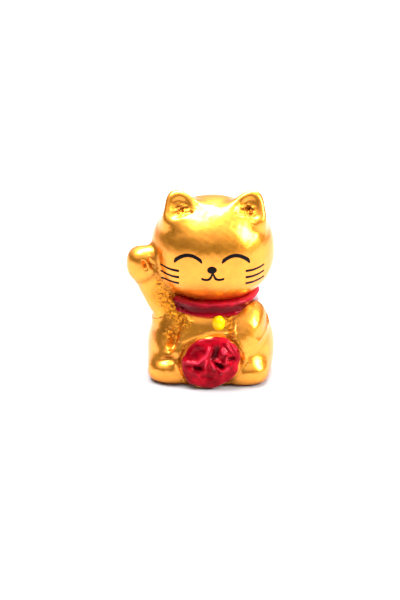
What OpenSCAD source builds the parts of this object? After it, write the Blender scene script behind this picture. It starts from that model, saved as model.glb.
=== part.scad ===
// Beckoning cat figurine: a small seated cat with a raised right paw, a collar
// with a bell and an oval coin held on its belly. It stands on the plane z = 0
// and faces -Y. Left and right are the cat's own, so its right side is -X.

/* [Torso] */
// Width of the torso across the belly
torso_w = 23.8; // [18:0.2:30]
// Depth of the torso, chest to back
torso_d = 20.6; // [16:0.2:26]
// Height of the shoulders above the floor
torso_h = 16.6; // [15:0.1:20]
// Height at which the torso is widest
belly_z = 5; // [3:0.2:7]
// Squareness of the torso, 2 is a true ellipsoid
torso_square = 3.4; // [2:0.1:4]
// Depth of the valley between the chest and the cat's right flank
flank_valley = 1.5; // [0:0.1:2]

/* [Head] */
// Width of the head, cheek to cheek
head_w = 25.8; // [20:0.2:32]
// Depth of the head, face to back
head_d = 22.4; // [18:0.2:27]
// Height of the head, chin to crown
head_h = 21.9; // [18:0.2:28]
// How far the chin sinks below the shoulders
neck_sink = 0.9; // [0.5:0.1:2]
// Sideways lean of the head towards the cat's left
head_x = 0.35; // [0:0.1:1]
// Squareness of the head, 2 is a true ellipsoid
head_square = 2.25; // [2:0.05:3]

/* [Ears] */
// Distance of each ear's middle in from the head's side
ear_in = 6.2; // [4:0.1:8]
// Width of an ear across its middle
ear_w = 7; // [5:0.1:8]
// Height of an ear's tip above the crown of the head
ear_rise = 2.6; // [0.5:0.1:4]
// Distance of the ears in front of the head's middle
ear_front = 2.5; // [0:0.1:4]
// Thickness of an ear, front to back
ear_t = 4.2; // [2.5:0.1:5]
// Thickness of the rolled rim around the ear's hollow
ear_rim = 1.35; // [0.8:0.05:2]
// Depth of the ear's hollow
ear_hollow = 1.3; // [0.5:0.1:2]
// Backward lean of the ears in degrees
ear_lean = 29; // [0:1:35]

/* [Haunches and feet] */
// Distance of the haunches in front of the torso's middle
haunch_front = 2.4; // [0:0.1:5]
// Length of a haunch, front to back
haunch_l = 16; // [12:0.2:20]
// Height of a haunch above the floor
haunch_h = 12.2; // [8:0.2:14]
// Thickness of a haunch
haunch_t = 13; // [7:0.2:14]
// How far a haunch stands out of the torso's side
haunch_out = 1.3; // [0.5:0.1:2]
// Width of a foot
foot_w = 9; // [7:0.2:11]
// Length of a foot
foot_l = 9; // [7:0.2:11]
// Height of a foot
foot_h = 5.6; // [4:0.1:7]
// Distance of the left foot's middle in from the torso's side
left_foot_in = 4.4; // [2:0.1:6]
// Distance of the right foot's middle in from the torso's side
right_foot_in = 3.3; // [2:0.1:6]
// How far the left foot's toes stand in front of the torso
left_foot_out = 1.9; // [0.5:0.1:3.5]
// How far the right foot's toes stand in front of the torso
right_foot_out = 0.9; // [0.5:0.1:3.5]

/* [Tail] */
// Thickness of the tail
tail_t = 4.4; // [3:0.1:6]
// Length of the tail from its root at the floor
tail_l = 11; // [8:0.2:14]

/* [Raised arm] */
// Width of the raised paw
paw_w = 6.9; // [5.5:0.1:8.5]
// Height of the raised paw
paw_h = 7.2; // [5.5:0.1:9]
// How far the raised paw sinks into the cheek it is cast against
paw_sink = 1.1; // [0.3:0.1:2]
// Height of the raised paw's middle below the head's middle
paw_drop = 2.1; // [0:0.1:5]
// How far the raised paw's middle stands in front of the head's middle
paw_front = 3.2; // [0:0.1:5]
// Thickness of the raised forearm
forearm_t = 7.2; // [4.5:0.1:8.5]
// Height of the web of casting between the forearm and the cheek
web_h = 8.6; // [6:0.1:12]

/* [Resting arm] */
// Thickness of the arm that holds the coin
arm_t = 6.3; // [4.5:0.1:8.5]
// Width of the paw that holds the coin
hold_paw_w = 4.4; // [4:0.1:6.5]

/* [Collar and bell] */
// Width of the collar, side to side
collar_w = 19.4; // [15:0.1:23]
// Depth of the collar, front to back
collar_d = 17.8; // [13:0.1:20]
// Height of the collar band
collar_h = 3.3; // [2.5:0.1:4.5]
// Thickness of the collar band out from the neck
collar_t = 3.1; // [2:0.1:4]
// Height of the collar's middle above the chin
collar_lift = 0.8; // [0:0.1:1.5]
// Drop of the collar at the throat
collar_drop = 0.3; // [0:0.1:1.5]
// Width of the bell
bell_w = 2.7; // [2:0.1:4]
// Height of the bell
bell_h = 3.3; // [2.4:0.1:4.5]
// Sideways place of the bell, towards the cat's left
bell_x = 1.6; // [-1:0.1:2]

/* [Coin] */
// Long side of the oval coin
coin_l = 12.6; // [10:0.2:15]
// Short side of the oval coin
coin_w = 10.7; // [8:0.2:12]
// Thickness of the oval coin
coin_t = 3.4; // [2:0.1:4]
// Gap between the coin's lowest edge and the floor
coin_gap = 0.1; // [0:0.1:1.5]
// Turn of the coin's long side up from level, in degrees
coin_turn = 25; // [0:1:60]
// Backward lean of the coin in degrees
coin_lean = 10; // [0:1:25]
// Width of the coin's bare rim
coin_rim = 0.3; // [0.2:0.05:0.8]
// Height of the enamel's domed middle above its edge
enamel_dome = 1; // [0.6:0.05:1.6]
// Height of the folds moulded in the enamel
fold_h = 0.7; // [0:0.05:0.8]

/* [Face] */
// Thickness of the ink marks on the face
ink_t = 0.16; // [0.1:0.02:0.3]
// Width of the eye strokes
eye_stroke = 0.78; // [0.4:0.02:1]
// Distance of each eye's middle from the middle line
eye_x = 5; // [3.5:0.1:6]
// Length of an eye stroke, end to end
eye_l = 5.9; // [4:0.1:7]
// Rise of the eye's arch above its ends
eye_arch = 1.5; // [0.5:0.1:2.5]
// Height of the eyes' ends above the head's middle
eye_z = 0.7; // [-1:0.1:3]
// Width of the nose
nose_w = 2; // [1.2:0.1:3]
// Height of the nose
nose_h = 1.65; // [1:0.05:2.5]
// Height of the nose below the head's middle
nose_drop = 0.65; // [0:0.05:2]
// Width of the mouth
mouth_w = 4.8; // [3:0.1:7]
// Drop of the mouth below the nose's middle
mouth_drop = 2.3; // [1.6:0.1:3]
// Height of the mouth's peak under the nose
mouth_peak = 1.3; // [0.6:0.1:1.8]
// Width of the mouth's strokes
mouth_stroke = 0.5; // [0.3:0.02:0.8]
// Distance of the whiskers' outer ends in from the head's side
whisker_in = 2.1; // [1.6:0.1:4]
// Length of a whisker measured straight across
whisker_l = 3.9; // [2:0.1:4.5]
// Distance between whiskers
whisker_gap = 1.5; // [1:0.1:2]
// Width of a whisker at its thick end
whisker_stroke = 0.56; // [0.3:0.02:0.7]

/* [Hidden] */

gold = "goldenrod";
enamel_red = "firebrick";
bell_yellow = "gold";
ink_black = "black";

big_rows = 22;    // rows from pole to pole on the head and torso
small_rows = 12;  // rows from pole to pole on the smaller shapes
reach_past = 60;  // longer than the figurine, for cutting blocks
right = -1;
left = 1;

// ---- points on a rounded body ----

function unit(v) = v / norm(v);

// Distance from the middle of a superellipsoid to its surface along d.
// plan shapes the outline seen along z, side shapes the profile.
function egg_reach(d, half, plan, side) =
    1 / pow(
        pow(pow(abs(d.x / half.x), plan) + pow(abs(d.y / half.y), plan), side / plan)
        + pow(abs(d.z / half.z), side),
        1 / side);

// Share of a superellipsoid's half width that is left at a height z from its middle
function egg_share(z, half_z, side) = pow(max(0, 1 - pow(abs(z / half_z), side)), 1 / side);

// A ball of points around the origin. reach gives the surface's distance along a
// direction, and spread stretches the directions so that the rows stay even.
module globe(reach, spread, rows) {
    columns = 2 * rows;
    function toward(row, column) =
        let (v = -90 + 180 * row / rows, u = 360 * column / columns)
        unit([spread.x * cos(v) * cos(u), spread.y * cos(v) * sin(u), spread.z * sin(v)]);
    down = [0, 0, -1];
    up = [0, 0, 1];
    points = concat(
        [down * reach(down)],
        [for (row = [1 : rows - 1]) for (column = [0 : columns - 1])
            let (d = toward(row, column)) d * reach(d)],
        [up * reach(up)]);
    last = len(points) - 1;
    function at(row, column) = 1 + (row - 1) * columns + column % columns;
    faces = concat(
        [for (c = [0 : columns - 1]) [0, at(1, c), at(1, c + 1)]],
        [for (r = [1 : rows - 2]) for (c = [0 : columns - 1]) each [
            [at(r, c), at(r + 1, c), at(r, c + 1)],
            [at(r, c + 1), at(r + 1, c), at(r + 1, c + 1)]]],
        [for (c = [0 : columns - 1]) [last, at(rows - 1, c + 1), at(rows - 1, c)]]);
    polyhedron(points, faces);
}

module egg(size, plan = 2, side = 2, rows = small_rows) {
    half = size / 2;
    globe(function(d) egg_reach(d, half, plan, side), half, rows);
}

// Points its child's z axis from one point to another, with the child's middle halfway
module along(from, to) {
    v = to - from;
    translate((from + to) / 2)
        rotate([0, acos(v.z / norm(v)), atan2(v.y, v.x)])
            children();
}

module above_floor() {
    difference() {
        children();
        translate([-reach_past, -reach_past, -reach_past])
            cube([2 * reach_past, 2 * reach_past, reach_past]);
    }
}

// ---- torso ----

torso_half = [torso_w / 2, torso_d / 2, torso_h - belly_z];
function torso_share(z) = egg_share(z - belly_z, torso_half.z, torso_square);

module torso_form() {
    translate([0, 0, belly_z])
        egg(2 * torso_half, 2.25, torso_square, big_rows);
}

// A long dent down the front of the cat's right flank, sunk into the torso's side
module flank_dent() {
    dent = [4, 5, 8];
    turn = 47;
    z = torso_h * 0.63;
    side = torso_share(z);
    translate([-torso_half.x * side * sin(turn), -torso_half.y * side * cos(turn), z]
        - (dent.y / 2 - flank_valley) * [sin(turn), cos(turn), 0])
        rotate([0, 0, -turn])
            egg(dent, 2, 2.2);
}

module torso() {
    color(gold) difference() {
        above_floor() torso_form();
        head_form();
        flank_dent();
    }
}

// ---- head and ears ----

chin_z = torso_h - neck_sink;
head_half = [head_w, head_d, head_h] / 2;
head_at = [head_x, 0, chin_z + head_half.z];

// Depth of the head's front surface at a place across the face
function face_y(x, z) =
    -head_half.y * pow(
        max(0.02, pow(1 - pow(abs(z / head_half.z), head_square), 2 / head_square)
            - pow(abs(x / head_half.x), 2)),
        1 / 2);

module head_form() {
    translate(head_at)
        egg([head_w, head_d, head_h], 2, head_square, big_rows);
}

module head() {
    color(gold) head_form();
}

// An ear is a rounded wedge: an outer side, an inner side, a blunt tip, a base, a
// front and a back, each a direction with its distance from the ear's middle.
ear_round = 4.5;
ear_outer_slope = 9;
ear_inner_slope = 47;
ear_half = ear_w / 2;
ear_tip = ear_half * 1.08;
function ear_sides(inset, half_t) = [
    [[cos(ear_outer_slope), 0, sin(ear_outer_slope)], ear_half - inset],
    [[-sin(ear_inner_slope), 0, cos(ear_inner_slope)], ear_half * 0.84 - inset],
    [[0, 0, 1], ear_tip - inset],
    [[0, 0, -1], ear_half * 1.6],
    [[0, 1, 0], half_t],
    [[0, -1, 0], half_t]
];
function wedge_reach(d, sides) =
    1 / pow([for (s = sides) pow(max(0, d * s[0] / s[1]), ear_round)]
        * [for (s = sides) 1], 1 / ear_round);

module ear_wedge(inset, half_t) {
    sides = ear_sides(inset, half_t);
    globe(function(d) wedge_reach(d, sides), [ear_half, half_t, ear_half], small_rows + 2);
}

// side is right or left
module ear(side) {
    color(gold) difference() {
        translate([head_x + side * (head_half.x - ear_in), -ear_front, head_at.z + head_half.z + ear_rise - ear_tip])
            mirror([side == right ? 1 : 0, 0, 0])
                rotate([-ear_lean, 0, 0])
                    difference() {
                        ear_wedge(0, ear_t / 2);
                        translate([0, -ear_t / 2, -0.6])
                            ear_wedge(ear_rim, ear_hollow);
                    }
        head_form();
    }
}

// ---- haunches, feet and tail ----

module haunch_form(side) {
    translate([side * (torso_half.x + haunch_out - haunch_t / 2), -haunch_front, haunch_h * 0.42])
        rotate([8, 0, -side * 5])
            egg([haunch_t, haunch_l, haunch_h * 1.16], 2.2, 2.3);
}

module haunch(side) {
    color(gold) difference() {
        above_floor() haunch_form(side);
        torso_form();
        if (side == right) flank_dent();
        raised_forearm_form();
        coin_form();
    }
}

function foot_out(side) = side == right ? right_foot_out : left_foot_out;
function foot_in(side) = side == right ? right_foot_in : left_foot_in;

module foot_form(side) {
    translate([side * (torso_half.x - foot_in(side)), -torso_half.y - foot_out(side) + foot_l / 2, foot_h * 0.42])
        rotate([0, 0, side * 14])
            egg([foot_w, foot_l, foot_h * 1.16], 2.3, 2.4);
}

module foot(side) {
    color(gold) difference() {
        above_floor() foot_form(side);
        torso_form();
        haunch_form(side);
        coin_form();
    }
}

module tail() {
    root = [1.5, torso_half.y * 0.86, 0.5];
    tip = root + tail_l * unit([1, -0.12, 0.95]);
    color(gold) difference() {
        above_floor()
            along(root, tip) egg([tail_t, tail_t, tail_l * 1.15], 2, 2.8);
        torso_form();
        haunch_form(left);
    }
}

// ---- raised arm ----

paw_size = [paw_w, paw_w * 0.97, paw_h];
paw_y = -paw_front;
// Half width of the head at the paw's height and depth
head_side = head_half.x * sqrt(
    pow(egg_share(paw_drop, head_half.z, head_square), 2) - pow(paw_y / head_half.y, 2));
paw_at = [head_x - head_side - paw_w / 2 + paw_sink, paw_y, head_at.z - paw_drop];
shoulder_z = chin_z - 1.8;
shoulder_at = [2.2 - torso_half.x * torso_share(shoulder_z), -1.5, shoulder_z];
wrist_at = paw_at + [0.9, 0.3, -paw_h * 0.22];
web_at = (shoulder_at + wrist_at) / 2 + [forearm_t * 0.07, -0.2, -0.4];

module raised_paw_form() {
    translate(paw_at) egg(paw_size, 2, 2.5);
}

// Two shallow grooves that part the curled toes
module toe_grooves() {
    // Place across and out, length and tilt of each
    for (toe = [[0.065, -0.49, 2, -24], [0.27, -0.41, 2.7, -28]])
        translate(paw_at + [toe[0] * paw_w, toe[1] * paw_size.y, paw_h * 0.1])
            rotate([-14, toe[3], 0])
                egg([0.6, 1.8, toe[2]]);
}

module raised_forearm_form() {
    along(shoulder_at, wrist_at)
        egg([forearm_t, forearm_t, norm(wrist_at - shoulder_at) * 1.24], 2, 2.8);
}

module web_form() {
    translate(web_at) egg([forearm_t * 0.67, forearm_t * 0.62, web_h], 2, 2.6);
}

module raised_forearm() {
    color(gold) difference() {
        union() {
            raised_forearm_form();
            web_form();
        }
        torso_form();
        head_form();
        collar_form();
        collar_core();
        raised_paw_form();
    }
}

module raised_paw() {
    color(gold) difference() {
        raised_paw_form();
        head_form();
        toe_grooves();
    }
}

// ---- collar and bell ----

collar_z = chin_z + collar_lift;
collar_steps = 40;
collar_corner = 3.2; // squareness of the band's section

// The band's section swept around the neck, lower at the throat
module collar_form() {
    section_steps = 14;
    middle = ([collar_w, collar_d] - [collar_t, collar_t]) / 2;
    function band_point(turn, round) =
        let (
            c = cos(round), s = sin(round),
            r = 1 / pow(pow(abs(c), collar_corner) + pow(abs(s), collar_corner), 1 / collar_corner),
            out = collar_t / 2 * r * c,
            droop = collar_drop * (1 - sin(turn)) / 2
        )
        [head_x + (middle.x + out) * cos(turn), (middle.y + out) * sin(turn),
            collar_z + collar_h / 2 * r * s - droop];
    points = [for (i = [0 : collar_steps - 1]) for (j = [0 : section_steps - 1])
        band_point(360 * i / collar_steps, 360 * j / section_steps)];
    function at(i, j) = (i % collar_steps) * section_steps + j % section_steps;
    faces = [for (i = [0 : collar_steps - 1]) for (j = [0 : section_steps - 1]) each [
        [at(i, j), at(i, j + 1), at(i + 1, j)],
        [at(i, j + 1), at(i + 1, j + 1), at(i + 1, j)]]];
    polyhedron(points, faces);
}

// The space inside the band, which the arms stay out of
module collar_core() {
    translate([head_x, 0, collar_z])
        egg([collar_w - collar_t, collar_d - collar_t, 3 * collar_h]);
}

module collar() {
    color(enamel_red) difference() {
        collar_form();
        torso_form();
        head_form();
    }
}

bell_tuck = 0.3; // how far the bell's top goes up behind the collar's edge
bell_z = collar_z - collar_drop - (collar_h + bell_h) / 2 + bell_tuck;
bell_y = -torso_half.y * torso_share(bell_z) + 0.2;

module bell() {
    color(bell_yellow) difference() {
        translate([bell_x, bell_y, bell_z])
            egg([bell_w, bell_w, bell_h], 2, 2.1);
        torso_form();
        collar_form();
        coin_form();
    }
}

// ---- coin ----

coin_half = [coin_l, coin_w, coin_t] / 2;
coin_edge = 3.6; // squareness of the coin's edge
enamel_seat = 0.5; // depth of the pocket that the enamel fills
coin_drop = norm([coin_half.x * sin(coin_turn), coin_half.y * cos(coin_turn)]) * cos(coin_lean);
coin_z = coin_gap + coin_drop;
coin_y = -torso_half.y * torso_share(coin_z) - 0.7;

// A point of the coin's middle plane, across and up, where it stands on the belly
function on_coin(p) =
    [p.x, coin_y + p.y * sin(coin_lean), coin_z + p.y * cos(coin_lean)];

// Places a coin drawn flat, with its face up, against the belly
module on_belly() {
    translate([0, coin_y, coin_z])
        rotate([90 - coin_lean, 0, 0])
            rotate([0, 0, coin_turn])
                children();
}

module coin_form() {
    on_belly() egg(2 * coin_half, 2.2, coin_edge);
}

// Folds across the enamel: each is a place, a direction, a length, a width and a height
folds = [
    [[-2.6, 0.9], 62, 2.6, 0.8, 0.8],
    [[-3.4, -1.4], 12, 2.4, 0.9, 0.7],
    [[1.2, 1.5], 120, 1.7, 0.8, 0.9],
    [[3.1, 1.6], 118, 1.8, 0.5, 1],
    [[0.3, -1.6], -35, 2.6, 0.8, 0.7],
    [[2.9, -1.2], 20, 1.8, 0.9, 0.6]
];
function fold_rise(p, f) =
    let (
        q = p - f[0],
        a = (q.x * cos(f[1]) + q.y * sin(f[1])) / f[2],
        b = (-q.x * sin(f[1]) + q.y * cos(f[1])) / f[3]
    )
    f[4] * exp(-a * a - b * b);
function enamel_rise(p, folds_left) =
    len(folds_left) == 0 ? 0
    : fold_rise(p, folds_left[0])
        + enamel_rise(p, [for (i = [1 : 1 : len(folds_left) - 1]) folds_left[i]]);

// The enamel's domed, folded face over the flat back that fills the coin's pocket
module enamel_form() {
    rings = 9;
    steps = 36;
    inside = [coin_half.x - coin_rim, coin_half.y - coin_rim];
    edge_z = coin_half.z * egg_share(inside.x, coin_half.x, coin_edge) + 0.03;
    function rim_point(k, i) = let (u = 360 * i / steps, s = k / rings)
        [inside.x * s * cos(u), inside.y * s * sin(u)];
    function top_z(k, p) = edge_z + enamel_dome * sqrt(1 - pow(k / rings, coin_edge))
        + fold_h * (1 - pow(k / rings, 3)) * enamel_rise(p, folds);
    points = concat(
        [[0, 0, top_z(0, [0, 0])]],
        [for (k = [1 : rings]) for (i = [0 : steps - 1])
            let (p = rim_point(k, i)) [p.x, p.y, top_z(k, p)]],
        [for (i = [0 : steps - 1]) let (p = rim_point(rings, i)) [p.x, p.y, edge_z - enamel_seat]],
        [[0, 0, edge_z - enamel_seat]]);
    last = len(points) - 1;
    function at(k, i) = 1 + (k - 1) * steps + i % steps;
    faces = concat(
        [for (i = [0 : steps - 1]) [0, at(1, i + 1), at(1, i)]],
        [for (k = [1 : rings]) for (i = [0 : steps - 1]) each [
            [at(k, i), at(k, i + 1), at(k + 1, i)],
            [at(k, i + 1), at(k + 1, i + 1), at(k + 1, i)]]],
        [for (i = [0 : steps - 1]) [last, at(rings + 1, i), at(rings + 1, i + 1)]]);
    polyhedron(points, faces);
}

module coin() {
    color(gold) difference() {
        above_floor() coin_form();
        torso_form();
        on_belly() enamel_form();
    }
}

module coin_enamel() {
    color(enamel_red) difference() {
        on_belly() enamel_form();
        torso_form();
    }
}

// ---- resting arm ----

arm_from = [torso_half.x * torso_share(chin_z - 1.5) - 1.2, -2.4, chin_z - 1.5];
// The paw lies on the coin's upper edge, sunk behind the level of its face
hold_paw_at = on_coin([coin_half.x * 1.08, coin_half.y * 0.68]) + [0, 1.8, 0];
arm_to = hold_paw_at + [0.4, 0.2, 1.5];

module resting_arm_form() {
    along(arm_from, arm_to)
        egg([arm_t, arm_t, norm(arm_to - arm_from) * 1.3], 2, 2.6);
}

module resting_arm() {
    color(gold) difference() {
        resting_arm_form();
        torso_form();
        head_form();
        collar_form();
        collar_core();
        haunch_form(left);
        coin_form();
        on_belly() enamel_form();
        resting_paw_form();
    }
}

module resting_paw_form() {
    translate(hold_paw_at)
        egg([hold_paw_w, hold_paw_w, hold_paw_w], 2, 2.3);
}

module resting_paw() {
    color(gold) difference() {
        resting_paw_form();
        torso_form();
        haunch_form(left);
        coin_form();
        on_belly() enamel_form();
    }
}

// ---- ink on the face ----

// A bead of ink along points [x, z] across the face, each with its own width,
// laid on the head's front surface and half sunk so that the head trims it. The
// width is set off upwards, and more where the line is steep.
module ink_stroke(line, widths) {
    sides = 8;
    n = len(line);
    function on_face(p) = head_at + [p.x, face_y(p.x, p.y), p.y];
    function heading(i) = unit(line[min(i + 1, n - 1)] - line[max(i - 1, 0)]);
    function bead(i, k) =
        let (
            rise = widths[i] / 2 / max(0.5, abs(heading(i).x)),
            p = line[i] + [0, rise * cos(360 * k / sides)]
        )
        on_face(p) - [0, ink_t * sin(360 * k / sides), 0];
    points = concat(
        [on_face(line[0])],
        [for (i = [0 : n - 1]) for (k = [0 : sides - 1]) bead(i, k)],
        [on_face(line[n - 1])]);
    last = len(points) - 1;
    function at(i, k) = 1 + i * sides + k % sides;
    faces = concat(
        [for (k = [0 : sides - 1]) [0, at(0, k + 1), at(0, k)]],
        [for (i = [0 : n - 2]) for (k = [0 : sides - 1]) each [
            [at(i, k), at(i, k + 1), at(i + 1, k)],
            [at(i, k + 1), at(i + 1, k + 1), at(i + 1, k)]]],
        [for (k = [0 : sides - 1]) [last, at(n - 1, k), at(n - 1, k + 1)]]);
    polyhedron(points, faces);
}

stroke_steps = 12;
function end_width(t, full) = full * sqrt(max(0.04, 1 - pow(abs(2 * t - 1), 8)));

module eye(side) {
    line = [for (i = [0 : stroke_steps]) let (t = i / stroke_steps, s = 2 * t - 1)
        [side * (eye_x + s * eye_l / 2), eye_z + eye_arch * (1 - s * s) - 0.35 * s]];
    widths = [for (i = [0 : stroke_steps]) end_width(i / stroke_steps, eye_stroke)];
    color(ink_black) difference() {
        ink_stroke(line, widths);
        head_form();
    }
}

module nose_form() {
    translate(head_at + [0, face_y(0, -nose_drop), -nose_drop])
        egg([nose_w, 3 * ink_t, nose_h]);
}

module nose() {
    color(ink_black) difference() {
        nose_form();
        head_form();
    }
}

// Two shallow hooks that run together in a peak under the nose
module mouth() {
    low = -nose_drop - mouth_drop;
    peak_half = 0.62;
    function lip_z(x) = low + mouth_peak * exp(-pow(abs(x) / peak_half, 1.7))
        + 0.12 * pow(2 * x / mouth_w, 4);
    steps = 2 * stroke_steps;
    line = [for (i = [0 : steps]) let (x = mouth_w * (i / steps - 0.5)) [x, lip_z(x)]];
    widths = [for (i = [0 : steps]) end_width(i / steps, mouth_stroke)];
    color(ink_black) difference() {
        ink_stroke(line, widths);
        head_form();
        nose_form();
    }
}

whisker_top = -nose_drop - 0.85;
whisker_x = head_half.x - whisker_in - whisker_l;

// number counts down from the top whisker, 1 to 3
module whisker(side, number) {
    z = whisker_top - (number - 1) * whisker_gap;
    line = [for (i = [0 : stroke_steps]) let (t = i / stroke_steps)
        [side * (whisker_x + whisker_l * t), z + 0.25 * t * t - 0.12 * sin(180 * t)]];
    widths = [for (i = [0 : stroke_steps]) let (t = i / stroke_steps)
        whisker_stroke * (1 - 0.55 * t) * sqrt(max(0.06, 1 - pow(1 - min(1, 6 * t), 2)))];
    color(ink_black) difference() {
        ink_stroke(line, widths);
        head_form();
    }
}

torso();
haunch(right);  // right_haunch
haunch(left);  // left_haunch
foot(right);  // right_foot
foot(left);  // left_foot
tail();
raised_forearm();
raised_paw();
resting_arm();
resting_paw();
head();
ear(right);  // right_ear
ear(left);  // left_ear
collar();
bell();
coin();
coin_enamel();
eye(right);  // right_eye
eye(left);  // left_eye
nose();
mouth();
whisker(right, 1);  // right_whisker_1
whisker(right, 2);  // right_whisker_2
whisker(right, 3);  // right_whisker_3
whisker(left, 1);  // left_whisker_1
whisker(left, 2);  // left_whisker_2
whisker(left, 3);  // left_whisker_3
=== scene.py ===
import math

import bpy
import numpy as np

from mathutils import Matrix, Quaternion, Vector


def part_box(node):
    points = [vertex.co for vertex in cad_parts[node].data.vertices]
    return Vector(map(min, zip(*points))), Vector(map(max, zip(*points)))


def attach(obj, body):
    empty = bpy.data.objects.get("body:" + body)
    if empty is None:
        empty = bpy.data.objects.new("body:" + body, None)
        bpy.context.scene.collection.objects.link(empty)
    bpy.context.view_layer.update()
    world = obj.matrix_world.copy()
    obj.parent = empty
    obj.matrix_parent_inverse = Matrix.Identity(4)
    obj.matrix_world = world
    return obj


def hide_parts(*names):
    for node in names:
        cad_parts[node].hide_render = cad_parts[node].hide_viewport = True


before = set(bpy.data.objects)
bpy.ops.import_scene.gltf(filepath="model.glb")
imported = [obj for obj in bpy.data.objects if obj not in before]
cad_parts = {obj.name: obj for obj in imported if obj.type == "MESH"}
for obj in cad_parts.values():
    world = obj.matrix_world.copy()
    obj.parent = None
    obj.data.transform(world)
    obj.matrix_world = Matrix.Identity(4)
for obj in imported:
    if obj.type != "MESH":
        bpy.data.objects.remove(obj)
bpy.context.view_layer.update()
print("stage: frame loaded")

mm = 0.001          # shapes are worked out in millimetres and written in metres
up = np.array([0.0, 0.0, 1.0])
catRight, catLeft = -1, 1   # the cat's own right is -X


# The frame's box of a node, in mm
def boxMm(node):
    low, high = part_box(node)
    return np.array(low) / mm, np.array(high) / mm


# Rotation about x, then y, then z, in degrees
def turned(x=0, y=0, z=0):
    cx, sx = math.cos(math.radians(x)), math.sin(math.radians(x))
    cy, sy = math.cos(math.radians(y)), math.sin(math.radians(y))
    cz, sz = math.cos(math.radians(z)), math.sin(math.radians(z))
    aboutX = np.array([[1, 0, 0], [0, cx, -sx], [0, sx, cx]])
    aboutY = np.array([[cy, 0, sy], [0, 1, 0], [-sy, 0, cy]])
    aboutZ = np.array([[cz, -sz, 0], [sz, cz, 0], [0, 0, 1]])
    return aboutZ @ aboutY @ aboutX


# Axes whose third one runs from one point to another
def axesAlong(start, end):
    w = (end - start) / np.linalg.norm(end - start)
    side = np.cross(w, [0.0, 1.0, 0.0])
    side /= np.linalg.norm(side)
    return np.stack([side, np.cross(w, side), w], axis=1)


# A superellipsoid: ((|x/a|^plan + |y/b|^plan)^(side/plan) + |z/c|^side)^(1/side) = 1.
# The distance is that sum less 1, over the length of its gradient.
def egg(center, half, plan=2.0, side=2.0, axes=None):
    center, half = np.array(center, float), np.array(half, float)
    axes = np.eye(3) if axes is None else axes

    def distance(points):
        q = (points - center) @ axes
        u = np.maximum(np.abs(q) / half, 1e-6)
        flat = u[:, 0] ** plan + u[:, 1] ** plan
        total = flat ** (side / plan) + u[:, 2] ** side
        rho = total ** (1 / side)
        common = rho ** (1 - side)
        gx = common * flat ** (side / plan - 1) * u[:, 0] ** (plan - 1) / half[0]
        gy = common * flat ** (side / plan - 1) * u[:, 1] ** (plan - 1) / half[1]
        gz = common * u[:, 2] ** (side - 1) / half[2]
        return (rho - 1) / np.maximum(np.sqrt(gx * gx + gy * gy + gz * gz), 1e-6)

    distance.center, distance.half, distance.axes = center, half, axes
    return distance


# A cut or blended form casts its rays from the same middle as the form it began as
def castAs(field, form):
    field.center, field.half, field.axes = form.center, form.half, form.axes


# A rounded wedge: each side is a direction and its distance from the middle, and
# the sides join as the root of the sum of (n . p / d)^power = 1
def wedge(center, axes, sides, power):
    normals = np.array([s[0] for s in sides], float)
    normals /= np.linalg.norm(normals, axis=1)[:, None]
    reaches = np.array([s[1] for s in sides], float)

    def distance(points):
        q = (points - center) @ axes
        u = np.maximum(q @ normals.T / reaches, 1e-6)
        rho = (u ** power).sum(axis=1) ** (1 / power)
        slope = rho[:, None] ** (1 - power) * ((u ** (power - 1) / reaches) @ normals)
        return (rho - 1) / np.maximum(np.linalg.norm(slope, axis=1), 1e-6)

    distance.center, distance.axes = center, axes
    return distance


# An oval ring with a rounded-square section, lower at the throat, swollen outwards by
# swell exp(-((level - height) / width)^2) at each roll
def ringBand(center, middle, shape):
    half, power = (shape["thick"] / 2, shape["high"] / 2), shape["power"]

    def distance(points):
        q = points - center
        rho = np.maximum(np.hypot(q[:, 0] / middle[0], q[:, 1] / middle[1]), 1e-6)
        slope = np.hypot(q[:, 0] / middle[0] ** 2, q[:, 1] / middle[1] ** 2) / rho
        out = (rho - 1) / np.maximum(slope, 1e-6)
        throat = (1 - q[:, 1] / middle[1] / rho) / 2
        rise = q[:, 2] + shape["droop"] * throat ** 2
        level = rise / half[1]
        rolls = sum(swell * np.exp(-((level - height) / width) ** 2)
                    for height, swell, width in shape["rolls"])
        wander = shape["wander"] * np.sin(9 * np.arctan2(q[:, 1], q[:, 0]) + 2 * level)
        out = out - np.where(out > 0, rolls + wander, 0)
        u, v = np.abs(out) / half[0] + 1e-6, np.abs(rise) / half[1] + 1e-6
        section = (u ** power + v ** power) ** (1 / power)
        steep = section ** (1 - power) * np.hypot(u ** (power - 1) / half[0], v ** (power - 1) / half[1])
        return (section - 1) / np.maximum(steep, 1e-6)

    return distance


# Smooth union: where two distances are within k of each other, the nearer one is
# moved by k/4 (1 - gap/k)^2
def blendUnion(a, b, k):
    h = np.maximum(k - np.abs(a - b), 0) / k
    return np.minimum(a, b) - h * h * k / 4


# A cut is the smooth union of the cutter and the outside, turned inside out
def blendCut(a, cutter, k):
    return -blendUnion(-a, cutter, k)


# How far a second skin that is gap behind the nearest one fills the crease between them
def creaseFill(gap, k):
    return k / 4 * np.clip(1 - gap / k, 0, 1) ** 2


# Unit-variance waves in random directions, about one wave length across
def waves(points, length, seed, count=12):
    rng = np.random.default_rng(seed)
    heading = rng.normal(size=(count, 3))
    heading /= np.linalg.norm(heading, axis=1)[:, None]
    heading *= 2 * np.pi / (length * rng.uniform(0.7, 1.5, size=(count, 1)))
    return np.sin(points @ heading.T + rng.uniform(0, 2 * np.pi, count)).sum(axis=1) / math.sqrt(count / 2)


casting = {"handUneven": 0.03, "handLength": 5.0, "skinUneven": 0.007, "skinLength": 1.3, "baseEdge": 0.7}

headLow, headHigh = boxMm("head")
headMiddle, headHalf = (headLow + headHigh) / 2, (headHigh - headLow) / 2
torsoLow, torsoHigh = boxMm("torso")
torsoHalf = (torsoHigh - torsoLow) / 2

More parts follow.
